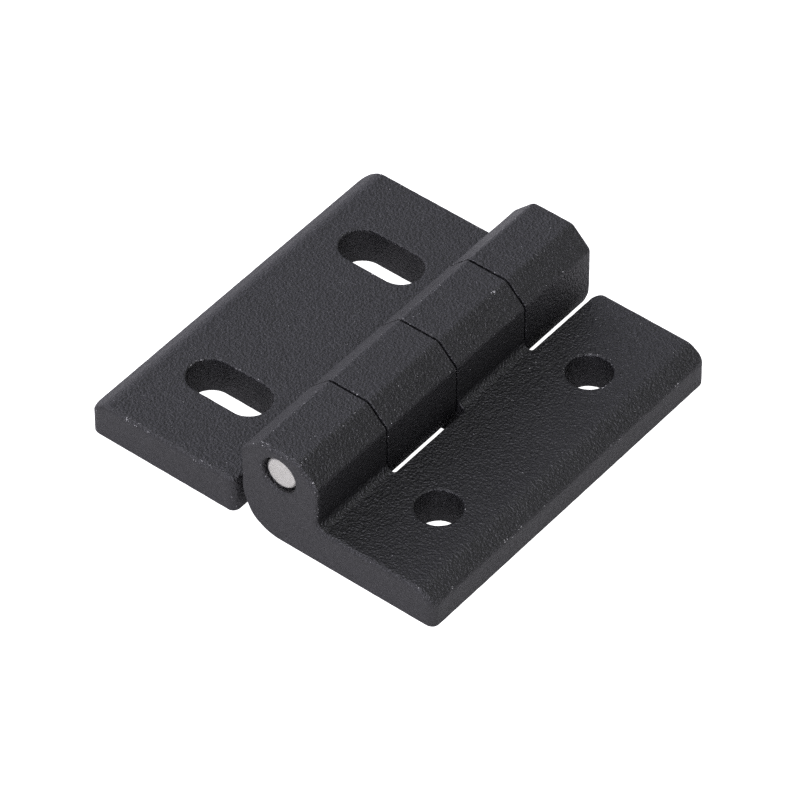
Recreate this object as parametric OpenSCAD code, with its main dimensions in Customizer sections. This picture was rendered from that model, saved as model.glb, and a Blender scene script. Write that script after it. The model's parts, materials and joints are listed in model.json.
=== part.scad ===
// Square block hinge: two die-cast leaves with two knuckles each, joined by one pin.
// The drilled leaf is on the +X side, the slotted leaf on the -X side, and the pin lies along Y.
// The origin is the middle of the square footprint, on the mounting plane.

/* [Leaves] */
// Length of the hinge along its pin
length = 60; // [50:1:80]
// Width of the drilled leaf, from the pin's axis to its outer edge
drilled_width = 26.5; // [24:0.5:40]
// Width of the slotted leaf, from the pin's axis to its outer edge
slotted_width = 33.5; // [31:0.5:45]
// Thickness of both leaves
leaf_thickness = 6.2; // [5:0.1:6.4]
// Height of the upright outer edge, below its chamfer
edge_height = 4.4; // [3:0.1:4.8]
// Width of the chamfer along the outer edge
edge_chamfer = 2.5; // [1:0.1:3]
// Radius of the two outer corners, seen from above
corner_radius = 1.3; // [0.5:0.1:3]

/* [Barrel] */
// Height of the barrel's flat top above the mounting plane
barrel_height = 16.7; // [16.4:0.1:19]
// Half the width of the barrel
barrel_half_width = 6.6; // [6:0.1:6.8]
// Size of the two slanted facets beside the flat top
barrel_facet = 3.2; // [2:0.1:3.6]
// Gap between neighbouring knuckles
knuckle_gap = 0.3; // [0.2:0.05:0.6]
// Width of the slit between a knuckle and the edge of the other leaf
slit_width = 1.3; // [1.2:0.1:2]

/* [Pin] */
// Height of the pin's axis above the mounting plane
axis_height = 12.3; // [12.1:0.1:12.6]
// Diameter of the pin
pin_diameter = 5; // [4:0.1:5.4]
// How far each end of the pin sits inside its knuckle
pin_recess = 0.6; // [0.2:0.1:1.5]
// Chamfer at both ends of the bore for the pin
bore_chamfer = 0.4; // [0.1:0.05:0.6]

/* [Screw holes] */
// Diameter of the round holes, and width of the slots
hole_diameter = 6.6; // [4:0.1:7]
// Distance between the two holes, or the two slots, along the pin
hole_pitch = 33; // [28:0.1:36]
// Distance of the round holes from the pin's axis
hole_offset = 16.6; // [15:0.1:17]
// Distance of the slots' middles from the pin's axis
slot_offset = 19.9; // [19.5:0.1:21]
// Length of the slots from end to end, across the pin
slot_length = 13.6; // [8:0.1:14]
// Small chamfer around every screw hole and slot
rim_chamfer = 0.2; // [0.1:0.05:0.4]

/* [Hidden] */
$fn = 96;

knuckle_count = 4;
knuckle_pitch = length / knuckle_count;
slit_edge = barrel_half_width + slit_width;
pin_radius = pin_diameter / 2;
press_fit = 0.01;
running_clearance = 0.05;
pin_end_chamfer = 0.35;
arc_step = 3;
cut_through = 1;

// The footprint is centred on the origin, so the pin's axis is a little to the +X side
axis_x = (slotted_width - drilled_width) / 2;

COATING = [0.16, 0.16, 0.18];
STEEL = [0.78, 0.78, 0.78];

// Knuckles are counted from the -Y end: even ones belong to the drilled leaf, odd ones to the slotted leaf
function knuckle_start(i) = -length / 2 + i * knuckle_pitch;

// A quarter arc of the barrel's round underside, from the side face to the lowest point
function underside_arc() = [
    for (a = [180 : arc_step : 270])
        barrel_half_width * [cos(a), 1 + sin(a)]
];

// Section of a knuckle whose leaf lies on the +X side: its outer quarter is round, and its
// inner quarter is square and runs into the leaf
module knuckle_section() {
    shoulder = barrel_height - barrel_facet;
    flat = barrel_half_width - barrel_facet;
    polygon(concat(
        [[-flat, barrel_height], [-barrel_half_width, shoulder]],
        underside_arc(),
        [[barrel_half_width, 0], [barrel_half_width, shoulder], [flat, barrel_height]]
    ));
}

// Section of a leaf of the given width, with the chamfer along its outer edge
module leaf_section(width) {
    polygon([
        [0, 0],
        [width, 0],
        [width, edge_height],
        [width - edge_chamfer, leaf_thickness],
        [0, leaf_thickness]
    ]);
}

// Stands an XZ section up and runs it along Y
module along_pin(from, to) {
    translate([0, to, 0]) rotate([90, 0, 0]) linear_extrude(to - from) children();
}

// Outline of a leaf from above, with both of its outer corners rounded
module leaf_outline(width) {
    straight = length / 2 - corner_radius;
    translate([0, -length / 2]) square([width - corner_radius, length]);
    translate([0, -straight]) square([width, 2 * straight]);
    for (side = [-1, 1])
        translate([width - corner_radius, side * straight]) circle(corner_radius);
}

module leaf_plate(width) {
    intersection() {
        along_pin(-length / 2, length / 2) leaf_section(width);
        translate([0, 0, -cut_through])
            linear_extrude(leaf_thickness + 2 * cut_through) leaf_outline(width);
    }
}

// A leaf's own knuckle, which closes the gap to its neighbours down to half the gap on each side
module own_knuckle(i) {
    from = knuckle_start(i) + (i == 0 ? 0 : knuckle_gap / 2);
    to = knuckle_start(i + 1) - (i == knuckle_count - 1 ? 0 : knuckle_gap / 2);
    along_pin(from, to) knuckle_section();
}

// The room that the other leaf's knuckle needs, with the slit's rounded ends along its far side
module knuckle_room(i) {
    open_front = i == 0;
    open_back = i == knuckle_count - 1;
    from = knuckle_start(i) - (open_front ? cut_through : knuckle_gap / 2);
    to = knuckle_start(i + 1) + (open_back ? cut_through : knuckle_gap / 2);
    slit_radius = slit_width / 2;
    slit_middle = barrel_half_width + slit_radius;
    straight_from = open_front ? from : from + slit_radius;
    straight_to = open_back ? to : to - slit_radius;
    translate([0, 0, -cut_through]) linear_extrude(barrel_height + 2 * cut_through) {
        translate([-cut_through, from]) square([slit_middle + cut_through, to - from]);
        translate([0, straight_from]) square([slit_edge, straight_to - straight_from]);
        if (!open_front) translate([slit_middle, straight_from]) circle(slit_radius);
        if (!open_back) translate([slit_middle, straight_to]) circle(slit_radius);
    }
}

// Bore for the pin along the whole barrel, with a chamfer at both outer ends
module pin_bore(radius) {
    translate([0, length / 2 + cut_through, axis_height])
        rotate([90, 0, 0]) cylinder(r = radius, h = length + 2 * cut_through);
    for (end = [-1, 1])
        translate([0, end * length / 2, axis_height])
            rotate([end * 90, 0, 0])
                cylinder(r1 = radius + bore_chamfer, r2 = radius, h = bore_chamfer);
}

// Round screw hole through a leaf, with its rims chamfered
module screw_hole() {
    radius = hole_diameter / 2;
    translate([0, 0, -cut_through]) cylinder(r = radius, h = leaf_thickness + 2 * cut_through);
    translate([0, 0, leaf_thickness - rim_chamfer])
        cylinder(r1 = radius, r2 = radius + rim_chamfer, h = rim_chamfer);
    cylinder(r1 = radius + rim_chamfer, r2 = radius, h = rim_chamfer);
}

// Straight slot through a leaf: the same hole at each end of its travel, and the room between
module screw_slot() {
    travel = slot_length - hole_diameter;
    half = hole_diameter / 2;
    for (side = [-1, 1]) translate([side * travel / 2, 0, 0]) screw_hole();
    rotate([0, 0, 90]) rotate([90, 0, 0])
        translate([0, 0, -travel / 2]) linear_extrude(travel) polygon([
            [-half - rim_chamfer, -cut_through],
            [half + rim_chamfer, -cut_through],
            [half + rim_chamfer, 0],
            [half, rim_chamfer],
            [half, leaf_thickness - rim_chamfer],
            [half + rim_chamfer, leaf_thickness],
            [half + rim_chamfer, leaf_thickness + cut_through],
            [-half - rim_chamfer, leaf_thickness + cut_through],
            [-half - rim_chamfer, leaf_thickness],
            [-half, leaf_thickness - rim_chamfer],
            [-half, rim_chamfer],
            [-half - rim_chamfer, 0]
        ]);
}

// One leaf with its knuckles, on the +X side of a pin that stands over the origin.
// own is the number of its first knuckle from the -Y end.
module leaf(width, own, bore_radius) {
    difference() {
        union() {
            difference() {
                leaf_plate(width);
                for (i = [1 - own, 3 - own]) knuckle_room(i);
            }
            for (i = [own, own + 2]) own_knuckle(i);
        }
        pin_bore(bore_radius);
        for (side = [-1, 1]) translate([0, side * hole_pitch / 2, 0]) children();
    }
}

// The +X leaf, which holds the pin tight in its first and third knuckles
module drilled_leaf() {
    color(COATING) translate([axis_x, 0, 0])
        leaf(drilled_width, 0, pin_radius - press_fit)
            translate([hole_offset, 0, 0]) screw_hole();
}

// The -X leaf, which turns freely on the pin with its second and fourth knuckles
module slotted_leaf() {
    color(COATING) translate([axis_x, 0, 0]) mirror([1, 0, 0])
        leaf(slotted_width, 1, pin_radius + running_clearance)
            translate([slot_offset, 0, 0]) screw_slot();
}

// Straight pin with a small chamfer at both ends
module hinge_pin() {
    half = length / 2 - pin_recess;
    color(STEEL) translate([axis_x, 0, axis_height]) rotate([90, 0, 0]) rotate_extrude()
        polygon([
            [0, -half],
            [pin_radius - pin_end_chamfer, -half],
            [pin_radius, -half + pin_end_chamfer],
            [pin_radius, half - pin_end_chamfer],
            [pin_radius - pin_end_chamfer, half],
            [0, half]
        ]);
}

drilled_leaf();
slotted_leaf();
hinge_pin();
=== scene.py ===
"""Looks of a square block hinge: two powder-coated castings that share one bare steel pin.

Each casting is drawn as a section across the pin and a plan from above. Where the two overlap is the
solid, and its surface is meshed with every edge rounded. All lengths are in metres.
"""

import itertools
import json
import math
from concurrent.futures import ThreadPoolExecutor

import bpy
import numpy as np
from mathutils import Matrix, Vector


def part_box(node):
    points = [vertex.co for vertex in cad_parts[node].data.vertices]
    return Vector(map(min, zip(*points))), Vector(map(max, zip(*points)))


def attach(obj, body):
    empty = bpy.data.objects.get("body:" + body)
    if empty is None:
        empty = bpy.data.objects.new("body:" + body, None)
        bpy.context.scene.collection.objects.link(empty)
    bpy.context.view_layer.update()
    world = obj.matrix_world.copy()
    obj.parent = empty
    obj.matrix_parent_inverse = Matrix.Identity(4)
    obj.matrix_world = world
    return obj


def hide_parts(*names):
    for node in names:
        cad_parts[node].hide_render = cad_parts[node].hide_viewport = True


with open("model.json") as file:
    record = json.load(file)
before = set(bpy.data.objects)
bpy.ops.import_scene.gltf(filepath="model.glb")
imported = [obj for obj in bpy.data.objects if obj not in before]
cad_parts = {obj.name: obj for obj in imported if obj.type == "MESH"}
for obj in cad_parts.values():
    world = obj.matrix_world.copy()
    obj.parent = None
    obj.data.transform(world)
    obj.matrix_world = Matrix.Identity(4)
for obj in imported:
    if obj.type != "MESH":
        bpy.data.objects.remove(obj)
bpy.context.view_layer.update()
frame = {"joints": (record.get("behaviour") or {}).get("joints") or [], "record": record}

MM = 0.001

# ---------------------------------------------------------------- sizes that the frame gives

joint = frame["joints"][0]
mounts = {mount["name"]: mount for mount in frame["record"]["mounts"]}
holes = mounts["drilled_leaf_holes"]
slots = mounts["slotted_leaf_slots"]
drilled_low, drilled_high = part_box("drilled_leaf")
slotted_low, slotted_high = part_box("slotted_leaf")
pin_low, pin_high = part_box("hinge_pin")

AXIS_X = joint["pos_m"][0]
AXIS_Z = joint["pos_m"][2]
HALF_LENGTH = (drilled_high.y - drilled_low.y) / 2
BARREL_TOP = drilled_high.z
BARREL_HALF_WIDTH = AXIS_X - drilled_low.x
DRILLED_WIDTH = drilled_high.x - AXIS_X
SLOTTED_WIDTH = AXIS_X - slotted_low.x
LEAF_TOP = holes["pos_m"][2]
HOLE_RADIUS = holes["dims"]["hole_r_mm"] * MM
HALF_PITCH = holes["dims"]["spacing_y_mm"] / 2 * MM
HOLE_OFFSET = holes["pos_m"][0] - AXIS_X
SLOT_OFFSET = AXIS_X - slots["pos_m"][0]
SLOT_LENGTH = slots["dims"]["slot_length_mm"] * MM
PIN_RADIUS = (pin_high.x - pin_low.x) / 2
KNUCKLE_PITCH = HALF_LENGTH / 2

# ---------------------------------------------------------------- sizes of the finer shapes

BARREL_FACET = 3.2 * MM      # the slanted facets beside the barrel's flat top
EDGE_HEIGHT = 4.4 * MM       # the upright outer edge of a leaf, below its chamfer
EDGE_CHAMFER = 2.5 * MM      # width of that chamfer
SLIT_WIDTH = 1.3 * MM        # between a knuckle and the edge of the other leaf
SLIT_CORNER = 0.45 * MM      # the corners of the slits, seen from above
KNUCKLE_GAP = 0.3 * MM       # between neighbouring knuckles
BORE_CLEARANCE = 0.05 * MM

PLAN_CORNER = 1.3 * MM       # the leaves' outer corners, seen from above
INNER_CORNER = 1.2 * MM      # the corners where a leaf ends beside the other one's end knuckle
ROOT_FILLET = 1.3 * MM       # between a knuckle and its leaf
FACET_ROUND = 1.0 * MM       # along the barrel's ridges
CHAMFER_ROUND = 3.0 * MM     # between a leaf's top and its chamfer
SIDE_ROUND = 0.35 * MM       # between the chamfer and the outer edge
EDGE_ROUND = 0.65 * MM       # along all other upper edges
FAR_END_ROUND = 0.9 * MM     # around the end of the barrel that belongs to the slotted leaf
SLIT_ROUND = 0.2 * MM        # along the upper edge of the slits
BASE_ROUND = 0.2 * MM        # along the edges of the underside
SEAM_ROUND = 0.14 * MM       # around the knuckles, at the seams
RIM_ROUND = 0.25 * MM        # around the screw holes and the slots
MOUTH_ROUND = 0.45 * MM      # around the ends of the pin's bore
MOUTH_WIDENING = 0.25 * MM   # extra radius of the bore near its ends
MOUTH_DEPTH = 1.2 * MM       # how far in that wider part reaches
PIN_CHAMFER = 0.45 * MM      # around both ends of the pin

COARSE = 1
GRID = 0.29 * MM * COARSE        # spacing of the mesh on flat ground
FINE_GRID = 0.13 * MM * COARSE   # spacing close to an edge
FINE_REACH = 0.45 * MM           # how far from an edge the fine spacing reaches
PEEL_HEIGHT = 0.006 * MM         # unevenness of the powder coat
PEEL_WAVES = (1.1 * MM, 2.6 * MM)    # shortest and longest of its waves
PEEL_WAVE_COUNT = 36
SHARP_EDGE = 0.5 * MM            # an edge this round or sharper counts as fully exposed to wear

SLIT_EDGE = BARREL_HALF_WIDTH + SLIT_WIDTH


# ---------------------------------------------------------------- outlines and distances

def rounded_outline(corners, arc_points=10):
    """Points along a closed outline. A corner is (x, y, radius), and its radius is drawn as an arc."""
    points = []
    for i, (x, y, radius) in enumerate(corners):
        corner = np.array((x, y))
        before = corner - np.array(corners[i - 1][:2])
        after = np.array(corners[(i + 1) % len(corners)][:2]) - corner
        before /= np.linalg.norm(before)
        after /= np.linalg.norm(after)
        if radius == 0:
            points.append(corner)
            continue
        turn = math.atan2(before[0] * after[1] - before[1] * after[0], before @ after)
        start = corner - before * radius * math.tan(abs(turn) / 2)
        centre = start + math.copysign(radius, turn) * np.array((-before[1], before[0]))
        for angle in np.linspace(0, turn, arc_points):
            c, s = math.cos(angle), math.sin(angle)
            arm = start - centre
            points.append(centre + np.array((c * arm[0] - s * arm[1], s * arm[0] + c * arm[1])))
    return np.array(points)


def outline_distance(x, y, outline):
    """Distance of the points (x, y) from a closed outline, below zero inside it."""
    nearest = np.inf
    inside = False
    for (x0, y0), (x1, y1) in zip(outline, np.roll(outline, -1, axis=0)):
        run, rise = x1 - x0, y1 - y0
        across, up = x - x0, y - y0
        share = np.clip((across * run + up * rise) / (run * run + rise * rise), 0, 1)
        nearest = np.minimum(nearest, (across - share * run) ** 2 + (up - share * rise) ** 2)
        if rise != 0:
            passes = (y0 > y) != (y1 > y)
            inside = inside ^ (passes & (across < up * run / rise))
    return np.sqrt(nearest) * np.where(inside, -1, 1)


def rounded_and(first, second, radius):
    """Distance from the overlap of two solids, with the edge between them rounded."""
    a, b = first + radius, second + radius
    return np.hypot(np.maximum(a, 0), np.maximum(b, 0)) - radius + np.minimum(np.maximum(a, b), 0)


def ramp(value, low, high):
    """0 below low, 1 above high, and a smooth rise in between."""
    share = np.clip((value - low) / (high - low), 0, 1)
    return share * share * (3 - 2 * share)


# ---------------------------------------------------------------- the castings

def leaf_section(width):
    """Section of a leaf with its knuckle. The chamfer runs on past the outer edge, where the plan
    ends it."""
    shoulder = BARREL_TOP - BARREL_FACET
    flat = BARREL_HALF_WIDTH - BARREL_FACET
    overrun = EDGE_CHAMFER
    drop = (LEAF_TOP - EDGE_HEIGHT) * overrun / EDGE_CHAMFER
    return rounded_outline([
        (-flat, BARREL_TOP, FACET_ROUND),
        (-BARREL_HALF_WIDTH, shoulder, FACET_ROUND),
        (-BARREL_HALF_WIDTH, 0, BARREL_HALF_WIDTH),
        (width + overrun, 0, 0),
        (width + overrun, EDGE_HEIGHT - drop, 0),
        (width - EDGE_CHAMFER, LEAF_TOP, CHAMFER_ROUND),
        (BARREL_HALF_WIDTH, LEAF_TOP, ROOT_FILLET),
        (BARREL_HALF_WIDTH, shoulder, FACET_ROUND),
        (flat, BARREL_TOP, FACET_ROUND),
    ], arc_points=16)


def leaf_plan(width):
    """Plan of a leaf whose first and third knuckles are its own, with room for the other two.
    It runs on past the far side of the barrel, where the section ends it."""
    past = -2 * BARREL_HALF_WIDTH
    half_gap = KNUCKLE_GAP / 2
    return rounded_outline([
        (past, -HALF_LENGTH, 0),
        (width, -HALF_LENGTH, PLAN_CORNER),
        (width, HALF_LENGTH, PLAN_CORNER),
        (SLIT_EDGE, HALF_LENGTH, INNER_CORNER),
        (SLIT_EDGE, KNUCKLE_PITCH - half_gap, SLIT_CORNER),
        (past, KNUCKLE_PITCH - half_gap, 0),
        (past, half_gap, 0),
        (SLIT_EDGE, half_gap, SLIT_CORNER),
        (SLIT_EDGE, -KNUCKLE_PITCH - half_gap, SLIT_CORNER),
        (past, -KNUCKLE_PITCH - half_gap, 0),
    ])


def edge_radius(u, v, z, width, end_round):
    """How round the edges between section and plan are: fine at the seams, slits and underside, softer
    elsewhere, and end_round at the outer end of the barrel."""
    past_slit = ramp(u, SLIT_EDGE, SLIT_EDGE + 2 * EDGE_ROUND)
    past_barrel = ramp(u, BARREL_HALF_WIDTH, SLIT_EDGE)
    near_end = ramp(abs(v), HALF_LENGTH - 3 * EDGE_ROUND, HALF_LENGTH - EDGE_ROUND)
    inner = SEAM_ROUND + (SLIT_ROUND - SEAM_ROUND) * past_barrel
    soft = end_round + (EDGE_ROUND - end_round) * past_barrel
    upper = inner + (soft - inner) * np.maximum(past_slit, near_end)
    at_side = ramp(u, width - 2 * EDGE_ROUND, width - SIDE_ROUND) * (1 - near_end)
    upper = upper + (SIDE_ROUND - upper) * at_side
    lower = np.minimum(upper, BASE_ROUND)
    return lower + (upper - lower) * ramp(z, LEAF_TOP / 4, LEAF_TOP * 2 / 3)


def bore_radius(v):
    """The bore fits the pin, and is a little wider near both ends of the barrel."""
    at_end = ramp(abs(v), HALF_LENGTH - MOUTH_DEPTH - MOUTH_WIDENING, HALF_LENGTH - MOUTH_DEPTH)
    return PIN_RADIUS + BORE_CLEARANCE + MOUTH_WIDENING * at_end


def mouth_radius(v):
    """How round the rim of the bore is: soft at both ends of the barrel, fine at the seams."""
    at_end = ramp(abs(v), HALF_LENGTH - 2 * MOUTH_ROUND, HALF_LENGTH - MOUTH_ROUND)
    return SEAM_ROUND + (MOUTH_ROUND - SEAM_ROUND) * at_end


def peel(u, v, z, seed):
    """Gentle unevenness of the coat, between about -2 and 2: a sum of waves in all directions."""
    draw = np.random.default_rng(seed)
    total = 0
    for _ in range(PEEL_WAVE_COUNT):
        direction = draw.normal(size=3)
        direction *= 2 * math.pi / draw.uniform(*PEEL_WAVES) / np.linalg.norm(direction)
        shift = draw.uniform(0, 2 * math.pi)
        total = total + np.cos(direction[0] * u + direction[1] * v + direction[2] * z + shift)
    return total * math.sqrt(2 / PEEL_WAVE_COUNT)


def leaf_distance(width, hole_offset, hole_travel, end_round, coat_seed=None):
    """Distance from a leaf's surface, as a function of u across the pin, v along it, and z. With a
    coat_seed the surface has the coat's unevenness."""
    section = leaf_section(width)
    plan = leaf_plan(width)

    def distance(u, v, z):
        radius = edge_radius(u, v, z, width, end_round)
        solid = rounded_and(outline_distance(u, z, section), outline_distance(u, v, plan), radius)
        beyond = np.maximum(abs(u - hole_offset) - hole_travel / 2, 0)
        hole = np.hypot(beyond, abs(v) - HALF_PITCH) - HOLE_RADIUS
        solid = rounded_and(solid, -hole, RIM_ROUND)
        bore = np.hypot(u, z - AXIS_Z) - bore_radius(v)
        solid = rounded_and(solid, -bore, mouth_radius(v))
        if coat_seed is not None:
            outside_bore = ramp(bore, 0, 2 * RIM_ROUND)
            solid = solid - PEEL_HEIGHT * outside_bore * peel(u, v, z, coat_seed)
        return solid

    return distance


def grid_line(low, high, fine_places):
    """Grid values from low to high, closer together near each fine place but never right on it."""
    values = [low]
    while values[-1] < high:
        away = min(abs(values[-1] - place) for place in fine_places)
        values.append(values[-1] + (FINE_GRID if away < FINE_REACH else GRID))
    values = np.array(values)
    for place in fine_places:
        values[abs(values - place) < FINE_GRID / 5] = place + FINE_GRID / 3
    return values


def surface_net(distance, lines):
    """One point for each grid cell that the surface crosses, and a four-sided face for each grid edge
    that it crosses."""
    xs, ys, zs = lines
    inside = distance(xs[:, None, None], ys[None, :, None], zs[None, None, :]) < 0
    cells = tuple(size - 1 for size in inside.shape)
    corners_inside = np.zeros(cells, int)
    for shift in itertools.product((0, 1), repeat=3):
        corners_inside += inside[tuple(slice(s, s + size) for s, size in zip(shift, cells))]
    crossed = (corners_inside > 0) & (corners_inside < 8)
    number = np.full(cells, -1)
    number[crossed] = np.arange(crossed.sum())
    points = np.stack(
        [(line[index] + line[index + 1]) / 2 for line, index in zip(lines, np.nonzero(crossed))], axis=1
    )
    faces = []
    for axis in range(3):
        second, third = (axis + 1) % 3, (axis + 2) % 3
        low = [slice(1, -1)] * 3
        high = [slice(1, -1)] * 3
        low[axis] = slice(None, -1)
        high[axis] = slice(1, None)
        starts, ends = inside[tuple(low)], inside[tuple(high)]
        edges = np.argwhere(starts != ends)
        ring = []
        for step_second, step_third in ((0, 0), (1, 0), (1, 1), (0, 1)):
            cell = edges.copy()
            cell[:, second] += step_second
            cell[:, third] += step_third
            ring.append(number[tuple(cell.T)])
        ring = np.stack(ring, axis=1)
        faces_down = ~starts[starts != ends]
        ring[faces_down] = ring[faces_down, ::-1]
        faces.append(ring)
    return points, np.concatenate(faces)


def value_and_slope(distance, points, step=0.01 * MM):
    """The distance at each point, and how it changes along the three axes."""
    shifts = [np.zeros(3)] + [step * way for way in np.eye(3)]
    with ThreadPoolExecutor() as pool:
        value, *beside = pool.map(lambda shift: distance(*(points + shift).T), shifts)
    return value, np.stack([(other - value) / step for other in beside], axis=1)


def settle(distance, points, rounds):
    """Moves each point onto the surface, and returns the points and the surface's normals there."""
    for _ in range(rounds):
        value, slope = value_and_slope(distance, points)
        points = points - (value / (slope ** 2).sum(axis=1))[:, None] * slope
    slope = value_and_slope(distance, points)[1]
    return points, slope / np.linalg.norm(slope, axis=1)[:, None]


def edge_sharpness(distance, points, step=0.1 * MM):
    """0 on flat or hollow ground, rising to 1 where the surface bends round an outer edge."""
    spread = -6 * distance(*points.T)
    for way in np.eye(3) * step:
        spread += distance(*(points + way).T) + distance(*(points - way).T)
    bend = spread / step ** 2
    return np.clip(bend * SHARP_EDGE, 0, 1)


def mesh_object(name, points, faces, normals=None):
    mesh = bpy.data.meshes.new(name)
    mesh.from_pydata(points.tolist(), [], faces.tolist() if isinstance(faces, np.ndarray) else faces)
    mesh.shade_smooth()
    if normals is not None:
        mesh.normals_split_custom_set_from_vertices(normals.tolist())
    piece = bpy.data.objects.new(name, mesh)
    bpy.context.scene.collection.objects.link(piece)
    return piece


def build_leaf(name, side, width, hole_offset, hole_travel, end_round, coat_seed):
    """A leaf on the +X side of the pin for side 1; for side -1 the same, turned half a turn about Z."""
    plain = leaf_distance(width, hole_offset, hole_travel, end_round)
    coated = leaf_distance(width, hole_offset, hole_travel, end_round, coat_seed)
    margin = 2 * GRID
    seams = [i * KNUCKLE_PITCH + s * KNUCKLE_GAP / 2 for i in (-1, 0, 1) for s in (-1, 1)]
    walls = [-BARREL_HALF_WIDTH, BARREL_HALF_WIDTH, SLIT_EDGE, width - EDGE_CHAMFER, width]
    levels = [0, LEAF_TOP, BARREL_TOP]
    lines = [
        grid_line(-BARREL_HALF_WIDTH - margin, width + margin, walls),
        grid_line(-HALF_LENGTH - margin, HALF_LENGTH + margin, seams + [-HALF_LENGTH, HALF_LENGTH]),
        grid_line(-margin, BARREL_TOP + margin, levels),
    ]
    points, faces = surface_net(plain, lines)
    points, _ = settle(plain, points, rounds=3)
    points, normals = settle(coated, points, rounds=2)
    wear = edge_sharpness(plain, points)
    placed = points * (side, side, 1) + (AXIS_X, 0, 0)
    piece = mesh_object(name, placed, faces, normals * (side, side, 1))
    attribute = piece.data.attributes.new("edge", "FLOAT", "POINT")
    attribute.data.foreach_set("value", wear.astype(np.float32))
    return piece


# ---------------------------------------------------------------- the pin

def build_pin(name):
    """The pin as a lathe turns it: flat ends with a rounded chamfer, along Y."""
    turn_count = 96
    face_rings, bend_rings, shaft_rings = 12, 6, 40
    half = (pin_high.y - pin_low.y) / 2
    flat = PIN_RADIUS - PIN_CHAMFER
    straight = half - 4 * PIN_CHAMFER
    faced = [(share * flat, half) for share in np.linspace(0.08, 0.94, face_rings)]
    bend = [
        (flat + PIN_CHAMFER * math.sin(a), half - PIN_CHAMFER + PIN_CHAMFER * math.cos(a))
        for a in np.linspace(0, math.pi / 2, bend_rings)
    ]
    upper = faced + bend
    middle = [(PIN_RADIUS, y) for y in np.linspace(straight, -straight, shaft_rings)]
    profile = upper + middle + [(r, -y) for r, y in reversed(upper)]
    points = [
        (AXIS_X + r * math.cos(t), y, AXIS_Z + r * math.sin(t))
        for r, y in profile
        for t in np.linspace(0, 2 * math.pi, turn_count, endpoint=False)
    ]
    faces = []
    for ring in range(len(profile) - 1):
        for i in range(turn_count):
            a = ring * turn_count + i
            b = ring * turn_count + (i + 1) % turn_count
            faces.append((a, b, b + turn_count, a + turn_count))
    for y, first in ((half, 0), (-half, (len(profile) - 1) * turn_count)):
        centre = len(points)
        points.append((AXIS_X, y, AXIS_Z))
        for i in range(turn_count):
            pair = (first + i, first + (i + 1) % turn_count)
            faces.append((centre, *(pair[::-1] if y > 0 else pair)))
    return mesh_object(name, np.array(points), faces)


# ---------------------------------------------------------------- materials

class Nodes:
    """Short calls for adding nodes to a tree. Most return the new node's output socket."""

    def __init__(self, tree, coordinates):
        self.tree = tree
        self.place = self.add("ShaderNodeTexCoord").outputs[coordinates]

    def add(self, kind, inputs=(), **settings):
        node = self.tree.nodes.new(kind)
        for key, value in settings.items():
            setattr(node, key, value)
        for key, value in dict(inputs).items():
            self.set(node, key, value)
        return node

    def set(self, node, key, value):
        if isinstance(value, bpy.types.NodeSocket):
            self.tree.links.new(value, node.inputs[key])
        else:
            node.inputs[key].default_value = value

    def noise(self, size, detail=2, rough=0.5):
        """Noise whose lumps are about size across."""
        inputs = {"Vector": self.place, "Scale": 1 / size, "Detail": detail, "Roughness": rough}
        return self.add("ShaderNodeTexNoise", inputs).outputs["Fac"]

    def cells(self, size):
        """Distance to the nearest of scattered points, about size apart."""
        inputs = {"Vector": self.place, "Scale": 1 / size}
        return self.add("ShaderNodeTexVoronoi", inputs).outputs["Distance"]

    def math(self, operation, a, b=0.0):
        return self.add("ShaderNodeMath", {0: a, 1: b}, operation=operation).outputs[0]

    def vector_math(self, operation, a, b, c=(0, 0, 0)):
        node = self.add("ShaderNodeVectorMath", {0: a, 1: b, 2: c}, operation=operation)
        return node.outputs["Value" if operation == "DOT_PRODUCT" else "Vector"]

    def spread(self, value, low, high, to_low=0.0, to_high=1.0):
        """Maps low..high to to_low..to_high smoothly, and holds the ends."""
        inputs = {"Value": value, "From Min": low, "From Max": high, "To Min": to_low, "To Max": to_high}
        return self.add("ShaderNodeMapRange", inputs, interpolation_type="SMOOTHSTEP").outputs["Result"]

    def mix(self, share, a, b):
        node = self.add("ShaderNodeMix", data_type="RGBA")
        sockets = {s.identifier: s for s in node.inputs}
        for key, value in (("Factor_Float", share), ("A_Color", a), ("B_Color", b)):
            if isinstance(value, bpy.types.NodeSocket):
                self.tree.links.new(value, sockets[key])
            else:
                sockets[key].default_value = value
        return next(s for s in node.outputs if s.identifier == "Result_Color")

    def bump(self, height, depth, below=None):
        """Bump of a height map whose full range stands depth tall."""
        inputs = {"Height": height, "Distance": depth, "Strength": 1.0}
        if below is not None:
            inputs["Normal"] = below
        return self.add("ShaderNodeBump", inputs).outputs["Normal"]


def new_material(name):
    """A material, calls for its nodes, and its surface node."""
    material = bpy.data.materials.new(name)
    material.use_nodes = True
    return material, Nodes(material.node_tree, "Object"), material.node_tree.nodes["Principled BSDF"]


def grey(level, tint=(1, 1, 1)):
    return (level * tint[0], level * tint[1], level * tint[2], 1)


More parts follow.
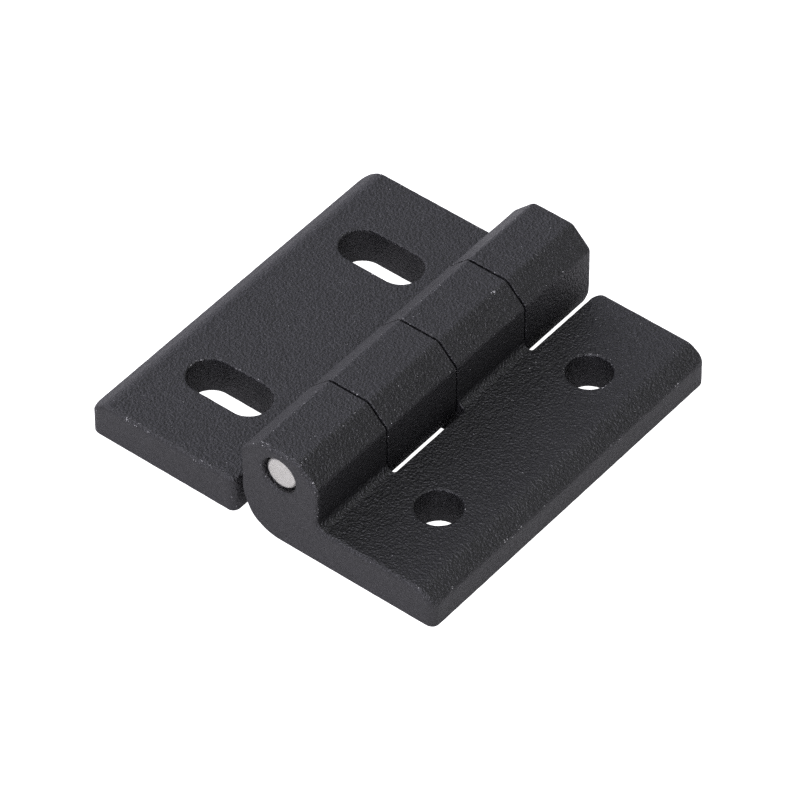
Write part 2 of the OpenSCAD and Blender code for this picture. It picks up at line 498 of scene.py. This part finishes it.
def bare_specks(nodes):
    """1 where the coat is chipped off and 0 elsewhere: little on flat ground, more along the edges,
    and most of all at the barrel's two upper ends."""
    end_reach = 7 * MM
    top_reach = 4 * MM
    place = nodes.add("ShaderNodeSeparateXYZ", {"Vector": nodes.place}).outputs
    from_middle = nodes.math("ABSOLUTE", place["Y"])
    near_end = nodes.spread(from_middle, HALF_LENGTH - end_reach, HALF_LENGTH)
    high = nodes.spread(place["Z"], BARREL_TOP - top_reach, BARREL_TOP)
    handled = nodes.math("MULTIPLY", near_end, high)
    patches = nodes.spread(nodes.noise(5 * MM), 0.45, 0.6)
    edge = nodes.add("ShaderNodeAttribute", attribute_name="edge").outputs["Fac"]
    exposed = nodes.spread(edge, 0.2, 0.6)
    worn = nodes.math("MULTIPLY", exposed, nodes.math("MAXIMUM", patches, handled))
    chips = nodes.noise(0.3 * MM, detail=3, rough=0.6)
    chips = nodes.math("ADD", chips, nodes.math("MULTIPLY", worn, 0.09))
    return nodes.spread(chips, 0.72, 0.76)


def coat_relief(nodes, grain):
    """Bumps of the coat: soft swells, the grain itself, and scattered pinholes."""
    relief = nodes.bump(nodes.noise(1.3 * MM, detail=1), 0.025 * MM)
    relief = nodes.bump(grain, 0.32 * MM, relief)
    pinholes = nodes.spread(nodes.cells(0.9 * MM), 0.05, 0.16)
    return nodes.bump(pinholes, 0.04 * MM, relief)


def coating_material():
    """Fine-textured black powder coat over zinc: grainy and clouded, with a few bare specks."""
    material, nodes, surface = new_material("powder_coat")
    violet = (0.98, 0.95, 1.10)
    bare_zinc = grey(0.75, (1, 0.99, 0.97))
    grain = nodes.noise(0.35 * MM)
    clouds = nodes.noise(6 * MM)
    tone = nodes.mix(nodes.spread(grain, 0.35, 0.7), grey(0.003, violet), grey(0.012, violet))
    tone = nodes.mix(nodes.spread(clouds, 0.35, 0.65, 0, 0.35), tone, grey(0.014, violet))
    nodes.set(surface, "Base Color", nodes.mix(bare_specks(nodes), tone, bare_zinc))
    nodes.set(surface, "Roughness", nodes.spread(grain, 0.3, 0.7, 0.50, 0.36))
    nodes.set(surface, "IOR", 1.5)
    nodes.set(surface, "Specular IOR Level", 1.0)
    nodes.set(surface, "Normal", coat_relief(nodes, grain))
    return material


def steel_material():
    """Bare matte steel with soft mottling and a very fine grain."""
    material, nodes, surface = new_material("pin_steel")
    mottle = nodes.noise(0.9 * MM, detail=3)
    fine = nodes.noise(0.12 * MM, detail=2)
    darker = grey(0.84, (1, 0.985, 0.90))
    lighter = grey(0.92, (1, 0.985, 0.91))
    nodes.set(surface, "Base Color", nodes.mix(nodes.spread(mottle, 0.3, 0.7), darker, lighter))
    nodes.set(surface, "Metallic", 0.75)
    nodes.set(surface, "Roughness", nodes.spread(fine, 0.3, 0.7, 0.5, 0.62))
    nodes.set(surface, "Normal", nodes.bump(fine, 0.008 * MM))
    return material


# ---------------------------------------------------------------- the pieces

def place_piece(piece, material, body, node):
    """Gives a piece its material, and lets it ride on its body in place of its CAD node."""
    piece.data.materials.append(material)
    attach(piece, body)
    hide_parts(node)


drilled_leaf = build_leaf(
    "drilled_leaf_casting", side=1, width=DRILLED_WIDTH, hole_offset=HOLE_OFFSET,
    hole_travel=0, end_round=EDGE_ROUND, coat_seed=11,
)
slotted_leaf = build_leaf(
    "slotted_leaf_casting", side=-1, width=SLOTTED_WIDTH, hole_offset=SLOT_OFFSET,
    hole_travel=SLOT_LENGTH - 2 * HOLE_RADIUS, end_round=FAR_END_ROUND, coat_seed=12,
)
coating = coating_material()
place_piece(drilled_leaf, coating, "drilled_side", "drilled_leaf")
place_piece(slotted_leaf, coating, "slotted_side", "slotted_leaf")
place_piece(build_pin("pin_shaft"), steel_material(), "drilled_side", "hinge_pin")


# ---------------------------------------------------------------- floor, light and camera

def build_floor():
    """A white table just below the hinge. The camera sees it evenly white, as a light table, and the
    hinge sees it lit and shaded. From below it cannot be seen, and the hinge's underside is lit."""
    half = 3.0
    drop = 0.05 * MM
    seen_glow = 1.2
    underside_glow = 0.6
    corners = np.array([(x * half, y * half, -drop) for x, y in ((-1, -1), (1, -1), (1, 1), (-1, 1))])
    floor = mesh_object("floor", corners, [(0, 1, 2, 3)])
    material, nodes, surface = new_material("light_table")
    nodes.set(surface, "Base Color", grey(0.85, (1, 0.985, 0.97)))
    nodes.set(surface, "Roughness", 0.9)
    nodes.set(surface, "Emission Color", grey(1.0))
    ray = nodes.add("ShaderNodeLightPath").outputs
    seen = nodes.math("MULTIPLY", ray["Is Camera Ray"], seen_glow)
    close = nodes.math("LESS_THAN", ray["Ray Length"], 3 * drop)
    under_hinge = nodes.math("MULTIPLY", close, underside_glow)
    nodes.set(surface, "Emission Strength", nodes.math("MAXIMUM", seen, under_hinge))
    from_below = nodes.add("ShaderNodeNewGeometry").outputs["Backfacing"]
    nodes.set(surface, "Alpha", nodes.math("SUBTRACT", 1, from_below))
    floor.data.materials.append(material)


# Soft lights far around the hinge: the compass direction from +X towards +Y and the height, both in
# degrees, then the strength and the tint
SOFT_LIGHTS = [
    (300, 52, 3.7, (1.00, 0.99, 1.10)),    # main light, on the camera's side
    (225, 55, 0.7, (1.00, 1.00, 1.10)),    # fill over the front of the slotted leaf
    (60, 52, 0.8, (0.95, 1.00, 0.90)),     # fill over the back of the drilled leaf
    (180, 18, 1.8, (1.02, 1.00, 1.12)),    # low light beyond the slotted leaf
    (135, 18, 0.8, (1.00, 1.00, 1.18)),    # low light at the back left
    (270, 18, 0.9, (1.03, 1.00, 1.25)),    # low light at the front end
    (90, 18, 0.1, (1.10, 1.00, 1.30)),     # faint low light at the back end
    (42, 22, 0.05, (1.00, 1.00, 1.15)),    # faint low light at the back right
]
LIGHT_SHARPNESS = 12


def build_world():
    """A dark room with soft lights in it, which the camera sees as white. Each light fades from its
    middle as a power of the cosine."""
    world = bpy.data.worlds.new("studio")
    world.use_nodes = True
    bpy.context.scene.world = world
    nodes = Nodes(world.node_tree, "Generated")
    total = (0, 0, 0)
    for compass, height, strength, tint in SOFT_LIGHTS:
        compass, height = math.radians(compass), math.radians(height)
        level = math.cos(height)
        middle = (math.cos(compass) * level, math.sin(compass) * level, math.sin(height))
        facing = nodes.math("MAXIMUM", nodes.vector_math("DOT_PRODUCT", nodes.place, middle), 0)
        fading = nodes.math("POWER", facing, LIGHT_SHARPNESS)
        colour = [strength * share for share in tint]
        total = nodes.vector_math("MULTIPLY_ADD", fading, colour, total)
    seen = nodes.add("ShaderNodeLightPath").outputs["Is Camera Ray"]
    backdrop = nodes.vector_math("ADD", total, seen)
    nodes.set(world.node_tree.nodes["Background"], "Color", backdrop)


def build_camera():
    """A long lens from the front right, above the hinge. The azimuth is counted from -Y towards +X."""
    azimuth = math.radians(39.02)
    elevation = math.radians(44.99)
    roll = math.radians(-0.26)
    distance = 867 * MM
    aim = Vector((AXIS_X - 0.95 * MM, -2.99 * MM, 5.0 * MM))
    back = Vector((
        math.sin(azimuth) * math.cos(elevation),
        -math.cos(azimuth) * math.cos(elevation),
        math.sin(elevation),
    ))
    level = Vector((math.cos(azimuth), math.sin(azimuth), 0))
    upright = back.cross(level)
    right = math.cos(roll) * level + math.sin(roll) * upright
    up = math.cos(roll) * upright - math.sin(roll) * level
    data = bpy.data.cameras.new("camera")
    data.sensor_width = 36
    data.lens = 286
    camera = bpy.data.objects.new("camera", data)
    bpy.context.scene.collection.objects.link(camera)
    turned = Matrix((right, up, back)).transposed().to_4x4()
    camera.matrix_world = Matrix.Translation(aim + distance * back) @ turned
    bpy.context.scene.camera = camera


build_floor()
build_world()
build_camera()
bpy.context.scene.view_settings.view_transform = "Standard"
bpy.context.scene.cycles.use_denoising = False   # it would smooth the coat's grain away
